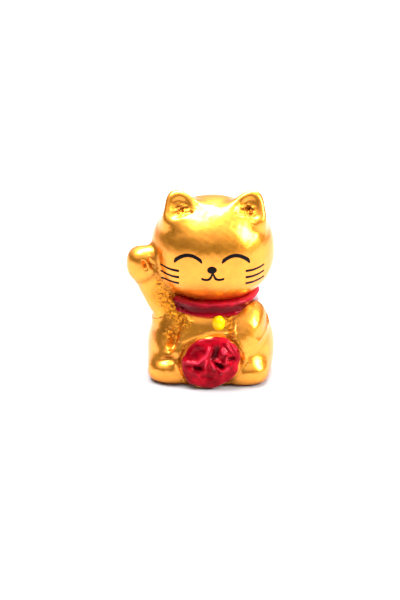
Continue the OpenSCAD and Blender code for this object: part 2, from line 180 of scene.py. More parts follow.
headShape = {"plan": 2.0, "side": 2.25}
torsoShape = {"widestAt": 5.0, "top": 16.6, "plan": 2.25, "side": 3.4}
flankDent = {"turn": 40, "height": 11.0, "half": (1.7, 2.6, 4.6), "depth": 1.35, "round": 1.8}


# The torso's width at a height, as a share of its widest: (1 - |rise/reach|^side)^(1/side)
def torsoShare(z):
    side, widestAt = torsoShape["side"], torsoShape["widestAt"]
    rise = abs((z - widestAt) / (torsoShape["top"] - widestAt))
    return max(0, 1 - rise ** side) ** (1 / side)


headField = egg(headMiddle, headHalf, headShape["plan"], headShape["side"])
torsoEgg = egg(
    (0, 0, torsoShape["widestAt"]),
    (torsoHalf[0], torsoHalf[1], torsoShape["top"] - torsoShape["widestAt"]),
    torsoShape["plan"], torsoShape["side"],
)
dentShare = torsoShare(flankDent["height"])
dentTurn = math.radians(flankDent["turn"])
dentOut = np.array([-math.sin(dentTurn), -math.cos(dentTurn), 0])
dentField = egg(
    dentOut * [torsoHalf[0] * dentShare, torsoHalf[1] * dentShare, 0] + up * flankDent["height"]
    + dentOut * (flankDent["half"][1] - flankDent["depth"]),
    flankDent["half"], 2, 2.2, turned(z=-flankDent["turn"]),
)


# The torso is an egg with the valley of the right flank pressed into it
def torsoField(points):
    return blendCut(torsoEgg(points), dentField(points), flankDent["round"])


castAs(torsoField, torsoEgg)

# Ears: an outer side, a sloping inner side, a blunt tip, a base, a front and a back,
# with a smaller wedge of the same kind pressed into the front
earShape = {
    "in": 6.2, "front": 2.5, "lean": 29, "halfWidth": 3.7, "thick": 4.2, "rim": 1.5,
    "hollow": 0.95, "outerSlope": 9, "innerSlope": 47, "tip": 1.08, "inner": 0.86, "aside": 0.4, "power": 3.7,
    "hollowPower": 3.0, "hollowRound": 1.5, "pit": (1.0, 1.4, 1.05), "pitRound": 0.5, "pitRough": 0.045,
}


# An ear: body wedge less hollow wedge less a rough-walled pit, each cut rounded
def earField(side):
    e = earShape
    high = boxMm("right_ear" if side == catRight else "left_ear")[1]
    tip = e["halfWidth"] * e["tip"]
    across = headMiddle[0] + side * (headHalf[0] - e["in"]) + e["aside"]
    center = np.array([across, -e["front"], high[2] - tip * 0.97])
    axes = turned(x=-e["lean"]) @ np.diag([side, 1, 1])
    outerTurn, innerTurn = math.radians(e["outerSlope"]), math.radians(e["innerSlope"])
    outer = (math.cos(outerTurn), 0, math.sin(outerTurn))
    inner = (-math.sin(innerTurn), 0, math.cos(innerTurn))

    def sides(inset, halfThick, below):
        return [
            (outer, e["halfWidth"] - inset),
            (inner, e["halfWidth"] * e["inner"] - inset),
            ((0, 0, 1), tip - inset * 1.15),
            ((0, 0, -1), below),
            ((0, 1, 0), halfThick),
            ((0, -1, 0), halfThick),
        ]

    front = -e["thick"] / 2
    body = wedge(center, axes, sides(0, e["thick"] / 2, 4.0), e["power"])
    hollowAt = center + axes @ [0, front, -0.3]
    hollow = wedge(hollowAt, axes, sides(e["rim"], e["hollow"], 2.3), e["hollowPower"])
    pit = egg(center + axes @ [0.1, front + e["hollow"], -0.75], e["pit"], 1.7, 1.7, axes)

    def distance(points):
        rough = e["pitRough"] * waves(points, 0.7, 21)
        dished = blendCut(body(points), hollow(points), e["hollowRound"])
        return blendCut(dished, pit(points) + rough, e["pitRound"])

    distance.pit = pit
    distance.center = center + axes @ [0, 0.9, -0.8]
    distance.half = np.array([e["halfWidth"], e["thick"] / 2, e["halfWidth"]])
    distance.axes = axes
    return distance


# A small three-cornered pocket between the right haunch, the foot and the coin
pocketShape = {"at": (-8.6, -10.1, 5.5), "half": (2.6, 1.6, 1.15), "tilt": -8, "round": 1.0}
pocketField = egg(pocketShape["at"], pocketShape["half"], 2, 2, turned(y=pocketShape["tilt"]))
haunchShape = {
    "half": (6.5, 8.0, 7.1), "height": 5.1, "front": 2.4, "plan": 2.2, "side": 2.3, "nod": 8, "toe": 5,
}
footShape = {"half": (4.6, 4.6, 3.25), "height": 2.35, "plan": 2.3, "side": 2.4, "splay": 14}


# A haunch is an egg turned with the thigh; the right one loses the valley and the pocket
def haunchField(side):
    low, high = boxMm("right_haunch" if side == catRight else "left_haunch")
    edge = low[0] if side == catRight else high[0]
    h = haunchShape
    body = egg((edge - side * h["half"][0], -h["front"], h["height"]),
               h["half"], h["plan"], h["side"], turned(x=h["nod"], z=-side * h["toe"]))

    def distance(points):
        d = body(points)
        if side == catRight:
            d = blendCut(d, dentField(points), flankDent["round"])
            d = blendCut(d, pocketField(points), pocketShape["round"])
        return d

    castAs(distance, body)
    return distance


# A foot is an egg with its toes splayed outwards; the right one loses the pocket
def footField(side):
    low, high = boxMm("right_foot" if side == catRight else "left_foot")
    f = footShape
    edge = low[0] if side == catRight else high[0]
    body = egg((edge - side * f["half"][0], low[1] + f["half"][1], f["height"]),
               f["half"], f["plan"], f["side"], turned(z=side * f["splay"]))

    def distance(points):
        d = body(points)
        return d if side == catLeft else blendCut(d, pocketField(points), pocketShape["round"])

    castAs(distance, body)
    return distance


tailLow, tailHigh = boxMm("tail")
tailShape = {"half": (2.2, 2.2, 6.2), "side": 2.6, "root": (1.2, 0.4, 0.3), "heading": (1.0, -0.12, 0.95)}
tailField = egg((tailLow + tailHigh) / 2 - tailShape["root"], tailShape["half"], 2, tailShape["side"],
                axesAlong(np.zeros(3), np.array(tailShape["heading"])))

# Raised arm
pawLow, pawHigh = boxMm("raised_paw")
pawShape = {"half": (3.45, 3.35, 3.6), "side": 2.5}
pawMiddle = (pawLow + pawHigh) / 2
pawMiddle[0] = pawLow[0] + pawShape["half"][0]
pawEgg = egg(pawMiddle, pawShape["half"], 2, pawShape["side"])
toeGrooves = [
    egg(pawMiddle + np.array([across, out, 0.7]), (0.3, 0.9, long), 2, 2, turned(x=-14, y=tilt))
    for across, out, long, tilt in [(0.45, -3.3, 1.0, -24), (1.85, -2.75, 1.35, -28)]
]


# The raised paw is an egg less its toe grooves, each rounded over half a millimetre
def raisedPawField(points):
    d = pawEgg(points)
    for groove in toeGrooves:
        d = blendCut(d, groove(points), 0.5)
    return d


castAs(raisedPawField, pawEgg)

forearmShape = {
    "half": 3.6, "overrun": 0.62, "side": 2.8,
    "webHalf": (2.4, 2.25, 4.3), "webAside": (0.5, -0.2, -0.4), "webRound": 1.6, "webRough": 0.1,
}
shoulderZ = torsoShape["top"] - 2.7
shoulderAt = np.array([1.5 - torsoHalf[0] * torsoShare(shoulderZ), -1.5, shoulderZ])
wristAt = pawMiddle + [0.9, 0.3, -pawShape["half"][2] * 0.44]
forearmLong = np.linalg.norm(wristAt - shoulderAt) * forearmShape["overrun"]
forearmEgg = egg((shoulderAt + wristAt) / 2, (forearmShape["half"], forearmShape["half"], forearmLong),
                 2, forearmShape["side"], axesAlong(shoulderAt, wristAt))
webEgg = egg((shoulderAt + wristAt) / 2 + forearmShape["webAside"], forearmShape["webHalf"], 2, 2.6)


# The forearm is an egg along its length, blended with a rough web beside the cheek
def forearmField(points):
    web = webEgg(points)
    rough = forearmShape["webRough"] * waves(points, 1.1, 22) * np.clip(1 - np.abs(web) / 1.5, 0, 1)
    return blendUnion(forearmEgg(points), web + rough, forearmShape["webRound"])


castAs(forearmField, forearmEgg)

# Coin, which leans back on the belly
coinShape = {
    "half": (6.3, 5.35, 1.7), "edge": 3.6, "turn": 25, "lean": 10, "plan": 2.2, "rim": 0.12,
    "recess": (5.7, 4.75, 1.0), "recessEdge": 3.0, "recessRound": 0.3,
}
coinMiddle = np.array([
    0.0, -torsoHalf[1] * torsoShare(5.2) - 0.7,
    0.1 + math.hypot(coinShape["half"][0] * math.sin(math.radians(coinShape["turn"])),
                     coinShape["half"][1] * math.cos(math.radians(coinShape["turn"])))
    * math.cos(math.radians(coinShape["lean"])),
])
coinLevel = turned(x=90 - coinShape["lean"])      # across, up, out of the face
coinAxes = coinLevel @ turned(z=coinShape["turn"])
coinEgg = egg(coinMiddle, coinShape["half"], coinShape["plan"], coinShape["edge"], coinAxes)
coinRecess = egg(coinMiddle + coinAxes @ [0, 0, coinShape["half"][2]],
                 coinShape["recess"], coinShape["plan"], coinShape["recessEdge"], coinAxes)


# The coin is a flat egg less the shallow recess in which the enamel lies
def coinField(points):
    return blendCut(coinEgg(points), coinRecess(points), coinShape["recessRound"])


castAs(coinField, coinEgg)

# Resting arm
armShape = {
    "half": 3.15, "overrun": 0.65, "side": 2.6, "pawHalf": 2.2,
    "pawOnCoin": (1.08, 0.68), "pawBack": (0, 1.8, 0), "wrist": (0.4, 0.2, 1.5),
}
armFromZ = torsoShape["top"] - 2.4
armFrom = np.array([torsoHalf[0] * torsoShare(armFromZ) - 1.2, -2.4, armFromZ])
pawOnCoin = np.array([*armShape["pawOnCoin"], 0]) * coinShape["half"]
holdPawAt = coinMiddle + coinLevel @ pawOnCoin + armShape["pawBack"]
armTo = holdPawAt + armShape["wrist"]
armLong = np.linalg.norm(armTo - armFrom) * armShape["overrun"]
armField = egg((armFrom + armTo) / 2, (armShape["half"], armShape["half"], armLong),
               2, armShape["side"], axesAlong(armFrom, armTo))
holdPawField = egg(holdPawAt, (armShape["pawHalf"],) * 3, 2, 2.3)

# Collar and bell
collarLow, collarHigh = boxMm("collar")
collarShape = {
    "thick": 3.1, "high": 3.3, "power": 3.2, "droop": 0.5, "wander": 0.07,
    # rolled paint edges: height as a share of the half height, swell in mm and width
    "rolls": [(0.66, 0.3, 0.3), (-0.7, 0.36, 0.26)],
}
collarMiddle = np.array([headMiddle[0], 0, collarHigh[2] - collarShape["high"] / 2])
collarRadii = (collarHigh - collarLow)[:2] / 2 - collarShape["thick"] / 2
collarField = ringBand(collarMiddle, collarRadii, collarShape)
bellLow, bellHigh = boxMm("bell")
bellShape = {"half": (1.35, 1.35, 1.65), "side": 2.1}
bellMiddle = bellLow + bellShape["half"]
bellMiddle[0] = (bellLow[0] + bellHigh[0]) / 2
bellField = egg(bellMiddle, bellShape["half"], 2, bellShape["side"])

fields = {
    "head": headField, "torso": torsoField,
    "right_ear": earField(catRight), "left_ear": earField(catLeft),
    "right_haunch": haunchField(catRight), "left_haunch": haunchField(catLeft),
    "right_foot": footField(catRight), "left_foot": footField(catLeft),
    "tail": tailField, "raised_forearm": forearmField, "raised_paw": raisedPawField,
    "coin": coinField, "resting_arm": armField, "resting_paw": holdPawField,
    "collar": collarField, "bell": bellField,
}

# Which parts run into each other
touching = [
    ("head", ["right_ear", "left_ear", "raised_paw", "raised_forearm", "torso", "collar"]),
    ("torso", ["right_haunch", "left_haunch", "right_foot", "left_foot", "tail", "raised_forearm",
               "resting_arm", "resting_paw", "coin", "collar", "bell"]),
    ("right_haunch", ["right_foot", "coin", "raised_forearm"]), ("right_foot", ["coin"]),
    ("left_haunch", ["left_foot", "coin", "resting_arm", "resting_paw", "tail"]), ("left_foot", ["coin"]),
    ("raised_forearm", ["raised_paw", "collar"]), ("resting_arm", ["resting_paw", "coin", "collar"]),
    ("resting_paw", ["coin"]), ("bell", ["collar"]),
]
# How far the casting's creases are filled, in mm, for each kind of crease
weldReach = {"crisp": 1.2, "ear": 2.4, "arm": 3.1, "torso": 2.8, "between": 1.9}
# How soon a skin dives away beneath its neighbour's, in mm
tuck = 0.5
# The creases where the lacquer pooled brown and painted shade darkens them, with how far it spread in mm
shadeAndPoolReach = {
    ("head", "raised_paw"): 2.0, ("head", "raised_forearm"): 2.0, ("raised_forearm", "raised_paw"): 1.1,
    ("resting_arm", "torso"): 2.6, ("coin", "torso"): 1.0, ("coin", "resting_paw"): 1.2,
    ("coin", "right_haunch"): 1.4, ("coin", "left_foot"): 1.8,
}
shadeAndPoolStrength = 0.75
# Painted shade, brown, in the flank's valley and in the pocket: place, half sizes and turn about z
shadePatches = [((-9.0, -6.3, 11.0), (1.5, 2.6, 3.0), -50), ((-8.9, -9.6, 5.9), (2.1, 2.6, 1.2), -20)]
shadePatchParts = ("right_haunch", "right_foot", "torso")
# Painted shade, brown, about an ear's pit: most less distance/reach, at most 1
pitShade = {"most": 1.3, "reach": 0.6}
# Painted parts keep their own outline: no crease against them is filled
paintParts = {"collar", "bell"}
# Parts that stand on the ground have their lower edge rounded there
standingParts = ("torso", "right_haunch", "left_haunch", "right_foot", "left_foot", "tail", "coin")


# The kind of crease between two parts
def kindOf(a, b):
    if "coin" in (a, b) or "tail" in (a, b):
        return "crisp"
    if a.endswith("_ear") or b.endswith("_ear"):
        return "ear"
    if "raised_forearm" in (a, b) and ("torso" in (a, b) or "right_haunch" in (a, b)):
        return "arm"
    return "torso" if "torso" in (a, b) else "between"


# The parts that a part runs into
def neighboursOf(name):
    return [b if a == name else a for a, others in touching for b in others if name in (a, b)]


# Places where the mould was rough and the lacquer clumped: middle and reach in mm
roughPlaces = [
    ((-6.0, -7.4, 13.0), 2.6), ((-9.8, -4.2, 18.6), 3.0), ((-8.0, -5.6, 15.4), 2.4), ((3.6, -8.6, 13.2), 1.7),
    ((-8.2, -7.2, 10.0), 1.8), ((-11.2, -4.5, 22.0), 1.8),
]
earRoughReach = 1.7
roughShape = {"length": 1.0, "high": 0.065, "fineLength": 0.5, "fineHigh": 0.022}


# How rough the skin is: the sum of exp(-(distance/reach)^4) over the rough places
def roughness(points):
    places = roughPlaces + [(fields[ear].pit.center, earRoughReach) for ear in ("right_ear", "left_ear")]
    near = [np.exp(-(np.linalg.norm(points - middle, axis=1) / reach) ** 4) for middle, reach in places]
    return np.clip(sum(near), 0, 1)


# Hand-made unevenness shared by every part, so that the skins still meet
def unevenness(points):
    smooth = (casting["handUneven"] * waves(points, casting["handLength"], 3)
              + casting["skinUneven"] * waves(points, casting["skinLength"], 5))
    clumps = (roughShape["high"] * waves(points, roughShape["length"], 31)
              + roughShape["fineHigh"] * waves(points, roughShape["fineLength"], 32))
    return smooth + roughness(points) * clumps


# A part's finished skin. Where it is the outermost part it follows the filled creases
# that it shares with its neighbours, and under a neighbour it dives away from that skin
# by g^2 / (g + tuck), which leaves the two skins level where they meet.
def skin(name):
    names = [name] + [n for n in neighboursOf(name) if not {name, n} & paintParts]

    def weld(a, b):
        return weldReach[kindOf(a, b)] if b in neighboursOf(a) else 1e-6

    reach = np.array([[weld(a, b) for b in names] for a in names])

    def distance(points):
        each = np.stack([fields[n](points) for n in names])
        outer, nearest = each.argmin(axis=0), each.min(axis=0)
        fill = sum(np.where(outer == i, 0, creaseFill(own - nearest, reach[outer, i]))
                   for i, own in enumerate(each))
        beneath = each[0] - nearest
        d = nearest - fill + beneath ** 2 / (beneath + tuck) - unevenness(points)
        if name in standingParts:
            d = blendCut(d, points[:, 2], casting["baseEdge"])
        return d

    return distance


# Nearness to pooled brown lacquer and painted shade, 0 on open skin: (1 - gap/reach) at a crease,
# and exp(-|q|^2) about a patch of painted shade, whichever is more
def shadeAndPoolNearness(name, points):
    base, near = fields[name](points), np.zeros(len(points))
    if name.endswith("_ear"):
        # Painted shade about the ear's pit
        near = np.clip(pitShade["most"] - fields[name].pit(points) / pitShade["reach"], 0, 1)
    # Painted shade in the flank's valley and in the pocket
    if name in shadePatchParts:
        for place, half, turn in shadePatches:
            q = (points - place) @ turned(z=turn) / half
            near = np.maximum(near, np.exp(-(q ** 2).sum(axis=1)))
    for pair, reach in shadeAndPoolReach.items():
        if name in pair:
            other = pair[name == pair[0]]
            gap = np.abs(fields[other](points) - base)
            near = np.maximum(near, shadeAndPoolStrength * np.clip(1 - gap / reach, 0, 1))
    return near


castSteps = 8


# Goes out along each ray to where a skin's distance is nil, by the secant rule: the
# next step is distance/slope, the slope being the last change over the last step
def castOut(field, origins, headings, first, low, high):
    r, slope = first.copy(), np.ones(len(first))
    g = field(origins + headings * r[:, None])
    for step in range(castSteps):
        nextR = np.clip(r - g / slope, low, high)
        nextG = field(origins + headings * nextR[:, None])
        moved = nextR - r
        newSlope = np.clip((nextG - g) / np.where(moved == 0, 1, moved), 0.25, 4)
        slope = np.where(np.abs(moved) > 1e-6, newSlope, slope)
        r, g = nextR, nextG
    return origins + headings * r[:, None]


# A smooth-shaded mesh from points in mm and the point numbers of its faces
def meshFrom(name, points, quads, triangles=None):
    mesh = bpy.data.meshes.new(name)
    triangles = np.zeros((0, 3), int) if triangles is None else triangles
    mesh.vertices.add(len(points))
    mesh.vertices.foreach_set("co", (points * mm).astype(np.float32).ravel())
    corners = np.concatenate([quads.ravel(), triangles.ravel()]).astype(np.int32)
    starts = np.concatenate([np.arange(len(quads)) * 4, len(quads) * 4 + np.arange(len(triangles)) * 3])
    mesh.loops.add(len(corners))
    mesh.loops.foreach_set("vertex_index", corners)
    mesh.polygons.add(len(starts))
    mesh.polygons.foreach_set("loop_start", starts.astype(np.int32))
    mesh.polygons.foreach_set("use_smooth", np.ones(len(starts), bool))
    mesh.update(calc_edges=True)
    mesh.validate()
    piece = bpy.data.objects.new(name, mesh)
    bpy.context.scene.collection.objects.link(piece)
    return piece


# One number for each point of a piece, which its material reads by name
def setAttribute(piece, name, values):
    piece.data.attributes.new(name, "FLOAT", "POINT").data.foreach_set("value", values.astype(np.float32))


# Faces of a globe grid: one point at each pole and rows of points between
def globeFaces(rows, columns):
    def at(row, column):
        return 1 + (row - 1) * columns + column % columns

    column = np.arange(columns)
    last = (rows - 1) * columns + 1
    row = np.arange(1, rows - 1)[:, None]
    corners = [at(row, column), at(row, column + 1), at(row + 1, column + 1), at(row + 1, column)]
    quads = np.stack(corners, axis=-1).reshape(-1, 4)
    south = np.stack([np.zeros(columns, int), at(1, column + 1), at(1, column)], axis=-1)
    north = np.stack([np.full(columns, last), at(rows - 1, column), at(rows - 1, column + 1)], axis=-1)
    return quads, np.concatenate([south, north])


# Rays from the middle along (cos v cos u, cos v sin u, sin v), stretched as the part
# is so that the rows stay even
def globeHeadings(half, axes, rows, columns):
    v = np.radians(-90 + 180 * np.arange(1, rows) / rows)[:, None]
    u = np.radians(360 * np.arange(columns) / columns)[None, :]
    ball = np.stack([np.cos(v) * np.cos(u), np.cos(v) * np.sin(u), np.sin(v) * np.ones_like(u)], axis=-1)
    ball = np.concatenate([[[0, 0, -1]], ball.reshape(-1, 3), [[0, 0, 1]]]) * half
    ball /= np.linalg.norm(ball, axis=1)[:, None]
    return ball @ axes.T


# A cast part: rays from its middle meet first its own form, then its finished skin
def castPiece(name, rows, columns):
    own = fields[name]
    headings = globeHeadings(own.half, own.axes, rows, columns)
    origins = np.repeat(own.center[None, :], len(headings), axis=0)
    longest = own.half.max() * 1.9 + 2
    first = castOut(own, origins, headings, np.full(len(headings), own.half.min()), 0.2, longest)
    reach = np.linalg.norm(first - origins, axis=1)
    points = castOut(skin(name), origins, headings, reach, reach * 0.2, reach + 2.5)
    quads, triangles = globeFaces(rows, columns)
    if np.linalg.det(own.axes) < 0:
        quads, triangles = quads[:, ::-1], triangles[:, ::-1]
    piece = meshFrom(name, points, quads, triangles)
    setAttribute(piece, "shade_and_pooling", shadeAndPoolNearness(name, points))
    setAttribute(piece, "rough", roughness(points))
    return piece


# Rows of points from pole to pole of each part
meshRows = {
    "head": 200, "torso": 180, "right_ear": 110, "left_ear": 110, "right_haunch": 110, "left_haunch": 110,
    "right_foot": 90, "left_foot": 90, "tail": 70, "raised_forearm": 110, "raised_paw": 110, "coin": 90,
    "resting_arm": 100, "resting_paw": 70, "bell": 50,
}
detail = 1
pieces = {}
for name, rows in meshRows.items():
    pieces[name] = castPiece(name, int(rows * detail), int(2 * rows * detail))
print("stage: sculpt cast")


# Painted shade: deep red along the collar's middle channel, where the paint also lies thick; and a painted
# highlight: a bright line on each roll's crest
collarShadeAndHighlight = {"channelShade": 0.9, "channelHalf": 0.5, "crestHighlight": 0.5, "crestAt": 0.68, "crestWidth": 0.1}


# The collar: rays leave the ring's middle line in the plane across it. Its painted shade is
# the channel share times exp(-(level / half)^4), and its painted highlight the crest share times
# exp(-((|level| - at) / width)^2)
def makeCollar(steps, around):
    turn = np.radians(360 * np.arange(steps) / steps)[:, None]
    rounding = np.radians(360 * np.arange(around) / around)[None, :]
    spine = np.stack([collarRadii[0] * np.cos(turn), collarRadii[1] * np.sin(turn), 0 * turn], axis=-1)
    out = np.stack([np.cos(turn) / collarRadii[0], np.sin(turn) / collarRadii[1], 0 * turn], axis=-1)
    out /= np.linalg.norm(out, axis=-1)[..., None]
    throat = (1 - np.sin(turn)) / 2
    spine[..., 2] = -collarShape["droop"] * throat ** 2
    origins = (collarMiddle + spine + 0 * rounding[..., None]).reshape(-1, 3)
    headings = (np.cos(rounding)[..., None] * out + np.sin(rounding)[..., None] * up).reshape(-1, 3)
    first = np.full(len(origins), collarShape["thick"] / 2)
    points = castOut(skin("collar"), origins, headings, first, 0.3, 2.6)
    i, j = np.arange(steps)[:, None], np.arange(around)[None, :]

    def at(a, b):
        return (a % steps) * around + b % around

    quads = np.stack([at(i, j), at(i + 1, j), at(i + 1, j + 1), at(i, j + 1)], axis=-1).reshape(-1, 4)
    piece = meshFrom("collar", points, quads)
    c = collarShadeAndHighlight
    level = (np.sin(rounding) + 0 * turn).ravel()
    fromCrest = (np.abs(level) - c["crestAt"]) / c["crestWidth"]
    # Painted shade along the middle channel, and a painted highlight on each roll's crest
    setAttribute(piece, "shade_and_pooling", c["channelShade"] * np.exp(-(level / c["channelHalf"]) ** 4))
    setAttribute(piece, "drawn", c["crestHighlight"] * np.exp(-fromCrest ** 2))
    return piece


pieces["collar"] = makeCollar(int(360 * detail), int(90 * detail))
print("stage: collar made")

# Edge waves: share, waves around, start in radians. Ripples: height and length in mm, seed.
enamelShape = {
    "dome": 1.15, "seat": 0.4, "lift": 0.05, "crowding": 1.6,
    "foldShade": 1.6, "foldHighlight": 1.3, "crestFrom": 0.15, "crestMost": 0.8,
    "edgeWander": 0.018333333, "edgeWaves": [(1, 4, 1), (0.9, 7, 2.2), (0.5, 13, 0), (0.15, 23, 1.7)],
    "ripples": [(0.05, 2.2, 11), (0.012, 0.9, 12)],
}
# Each fold: middle across and up in mm, heading in degrees, half length, half width, height
enamelFolds = [
    (-4.0, 0.1, -4, 1.5, 0.34, 0.60),
    (-2.0, 0.75, 40, 1.2, 0.34, 0.70),
    (-0.75, 2.2, 68, 1.2, 0.36, 0.75),
    (2.5, 2.5, 120, 0.75, 0.62, 0.75),
    (3.9, 3.1, 128, 1.2, 0.24, 0.62),
    (4.75, 3.2, 122, 1.1, 0.22, 0.55),
    (0.95, 1.8, 72, 1.7, 0.75, -0.75),
    (-3.0, 2.4, 35, 1.6, 0.9, -0.35),
    (1.8, -0.55, 145, 1.0, 0.42, -0.95),
    (0.35, -0.4, 118, 1.0, 0.34, 0.75),
    (1.2, 0.45, 150, 0.9, 0.32, 0.60),
    (-2.7, -1.1, -10, 1.0, 0.42, -0.80),
    (-1.15, -0.1, 82, 0.9, 0.34, 0.65),
    (4.2, 0.9, 15, 0.8, 0.40, -0.55),
    (2.9, -1.5, 38, 1.5, 0.36, 0.45),
    (-0.9, -3.0, -8, 1.3, 0.45, -0.30),
    (3.1, 0.6, 85, 0.9, 0.30, 0.40),
    (-3.6, -2.1, 150, 1.2, 0.5, 0.25),
]


# The folds are bell-shaped ridges and valleys: height exp(-(along/length)^4 - (across/width)^2)
def foldHeight(x, y):
    total = np.zeros_like(x)
    for cx, cy, heading, length, width, height in enamelFolds:
        c, s = math.cos(math.radians(heading)), math.sin(math.radians(heading))
        along, across = (x - cx) * c + (y - cy) * s, -(x - cx) * s + (y - cy) * c
        total += height * np.exp(-(along / length) ** 4 - (across / width) ** 2)
    return total


# The enamel lies on the coin's face as rings from its middle outwards, domed by
# (1 - s^edge)^(1/2), where s is the share of the way to the rim
def makeEnamel(rings, steps):
    e, half = enamelShape, coinShape["half"]
    inside = np.array(half[:2]) - coinShape["rim"]
    edgeZ = half[2] * (1 - (inside[0] / half[0]) ** coinShape["edge"]) ** (1 / coinShape["edge"])
    s = (np.arange(1, rings + 1) / rings)[:, None]
    s = 1 - (1 - s) ** e["crowding"]      # rings crowd towards the rolled edge
    u = np.radians(360 * np.arange(steps) / steps)[None, :]
    power = 2 / coinShape["plan"]
    px = inside[0] * np.sign(np.cos(u)) * np.abs(np.cos(u)) ** power
    py = inside[1] * np.sign(np.sin(u)) * np.abs(np.sin(u)) ** power
    uneven = sum(share * np.sin(count * u + start) for share, count, start in e["edgeWaves"])
    wander = e["edgeWander"] * uneven
    x, y = px * s * (1 + wander * s), py * s * (1 + wander * s)
    c, n = math.cos(math.radians(coinShape["turn"])), math.sin(math.radians(coinShape["turn"]))
    level = np.stack([x * c - y * n, x * n + y * c], axis=-1)       # across and up, untilted
    flatTop = (1 - s ** coinShape["edge"]) ** 0.5
    folds = foldHeight(level[..., 0], level[..., 1])
    flat = np.stack([x, y, 0 * x], axis=-1).reshape(-1, 3)
    ripple = sum(high * waves(flat, length, seed) for high, length, seed in e["ripples"]).reshape(x.shape)
    base = edgeZ + e["lift"]
    z = base + e["dome"] * flatTop + (folds + ripple) * np.clip((1 - s ** 6) * 1.2, 0, 1)
    top = np.stack([x, y, z], axis=-1).reshape(-1, 3)
    middleZ = base + e["dome"] + float(foldHeight(np.zeros(1), np.zeros(1))[0])
    under = np.stack([x[-1], y[-1], np.full(steps, edgeZ - e["seat"])], axis=-1)
    local = np.concatenate([[[0, 0, middleZ]], top, under, [[0, 0, edgeZ - e["seat"]]]])
    points = coinMiddle + local @ coinAxes.T
    count = rings + 1

    def at(k, i):
        return 1 + (k - 1) * steps + i % steps

    k, i = np.arange(1, count)[:, None], np.arange(steps)[None, :]
    quads = np.stack([at(k, i), at(k + 1, i), at(k + 1, i + 1), at(k, i + 1)], axis=-1).reshape(-1, 4)
    i = np.arange(steps)
    cap = np.stack([np.zeros(steps, int), at(1, i), at(1, i + 1)], axis=-1)
    floor = np.stack([np.full(steps, len(local) - 1), at(count, i + 1), at(count, i)], axis=-1)
    piece = meshFrom("coin_enamel", points, quads, np.concatenate([cap, floor]))
    # Painted shade in the folds' valleys and a painted highlight along their crests
    hollow = np.clip(-folds.ravel() * e["foldShade"], 0, 1)
    crestHighlight = np.clip(folds.ravel() * e["foldHighlight"] - e["crestFrom"], 0, e["crestMost"])
    setAttribute(piece, "shade_and_pooling", np.concatenate([[0], hollow, np.zeros(steps + 1)]))
    setAttribute(piece, "drawn", np.concatenate([[0], crestHighlight, np.zeros(steps + 1)]))
    return piece


pieces["coin_enamel"] = makeEnamel(int(90 * detail), int(260 * detail))
print("stage: enamel made")

inkShape = {"film": 0.07, "sides": 14, "steps": 48}
faceSkin = skin("head")


# Points on the finished head in front of places [across, height] on the face
def ontoFace(across, height, lift):
    middle = np.full_like(across, headMiddle[1])
    origins = np.stack([headMiddle[0] + across, middle, headMiddle[2] + height], axis=-1)
    headings = np.repeat([[0.0, -1.0, 0.0]], len(origins), axis=0)
    share = np.clip(1 - (across / headHalf[0]) ** 2 - (height / headHalf[2]) ** 2, 0.02, 1)
    first = headHalf[1] * np.sqrt(share)
    onSkin = castOut(faceSkin, origins, headings, first, first * 0.6, first + 1.5)
    outward = onSkin - headMiddle
    outward /= headHalf ** 2
    outward /= np.linalg.norm(outward, axis=1)[:, None]
    return onSkin + outward * lift[:, None]


# A stroke of ink: a flat bead about a line, as thick as film |sin|^0.6 around it
def makeStroke(name, across, height, widths):
    steps, sides = len(across), inkShape["sides"]
    slope = np.gradient(height, across)
    tall = widths / 2 * np.sqrt(1 + np.minimum(slope ** 2, 4))
    rounding = np.radians(360 * np.arange(sides) / sides)[None, :]
    offset = tall[:, None] * np.cos(rounding)
    x = np.repeat(across[:, None], sides, axis=1).ravel()
    z = (height[:, None] + offset).ravel()
    lift = (inkShape["film"] * np.sign(np.sin(rounding)) * np.abs(np.sin(rounding)) ** 0.6
            * np.minimum(1, widths[:, None] / widths.max() * 1.5)).ravel()
    x = np.concatenate([[across[0]], x, [across[-1]]])
    z = np.concatenate([[height[0]], z, [height[-1]]])
    lift = np.concatenate([[0.0], lift, [0.0]])
    points = ontoFace(x, z, lift)
    quads, triangles = globeFaces(steps + 1, sides)
    if across[-1] < across[0]:
        quads, triangles = quads[:, ::-1], triangles[:, ::-1]
    return meshFrom(name, points, quads, triangles)


# A stroke's width near its ends: sqrt(1 - (1 - t/reach)^2)
def roundEnds(t, reach):
    return np.sqrt(np.clip(1 - np.clip(1 - np.minimum(t, 1 - t) / reach, 0, 1) ** 2, 0.02, 1))


faceAside = -0.17     # the printing sits a little to one side
eyeShape = {"x": 4.93, "length": 5.9, "arch": 1.5, "height": 0.7, "tilt": 0.3, "stroke": 0.78, "ends": 0.055}
noseShape = {"halfWidth": 1.0, "halfHeight": 0.82, "drop": 0.65}
mouthShape = {
    "width": 4.8, "drop": 2.3, "peak": 1.35, "peakHalf": 0.52, "curl": 0.3, "stroke": 0.55, "ends": 0.05,
}
whiskerShape = {
    "in": 2.18, "length": 3.9, "gap": 1.5, "top": 1.5, "stroke": 0.62, "lift": 0.25, "sag": 0.12,
    "taper": 0.35, "bluntness": 16,
}


# A smiling eye: height + arch (1 - s^2) - tilt s, with s from -1 by the nose to 1
def makeEye(name, side):
    e = eyeShape
    t = np.linspace(0, 1, inkShape["steps"])
    s = 2 * t - 1
    x = faceAside + side * (e["x"] + s * e["length"] / 2)
    z = e["height"] + e["arch"] * (1 - s * s) - e["tilt"] * s
    return makeStroke(name, x, z, e["stroke"] * roundEnds(t, e["ends"]))


# An oval nose: one short stroke, halfHeight sqrt(1 - s^2) to each side of its line
def makeNose(name):
    n = noseShape
    t = np.linspace(0, 1, inkShape["steps"])
    s = np.sin((t - 0.5) * np.pi)
    widths = 2 * n["halfHeight"] * np.sqrt(np.clip(1 - s * s, 0.002, 1))
    return makeStroke(name, faceAside + n["halfWidth"] * s, np.full_like(t, -n["drop"]), widths)


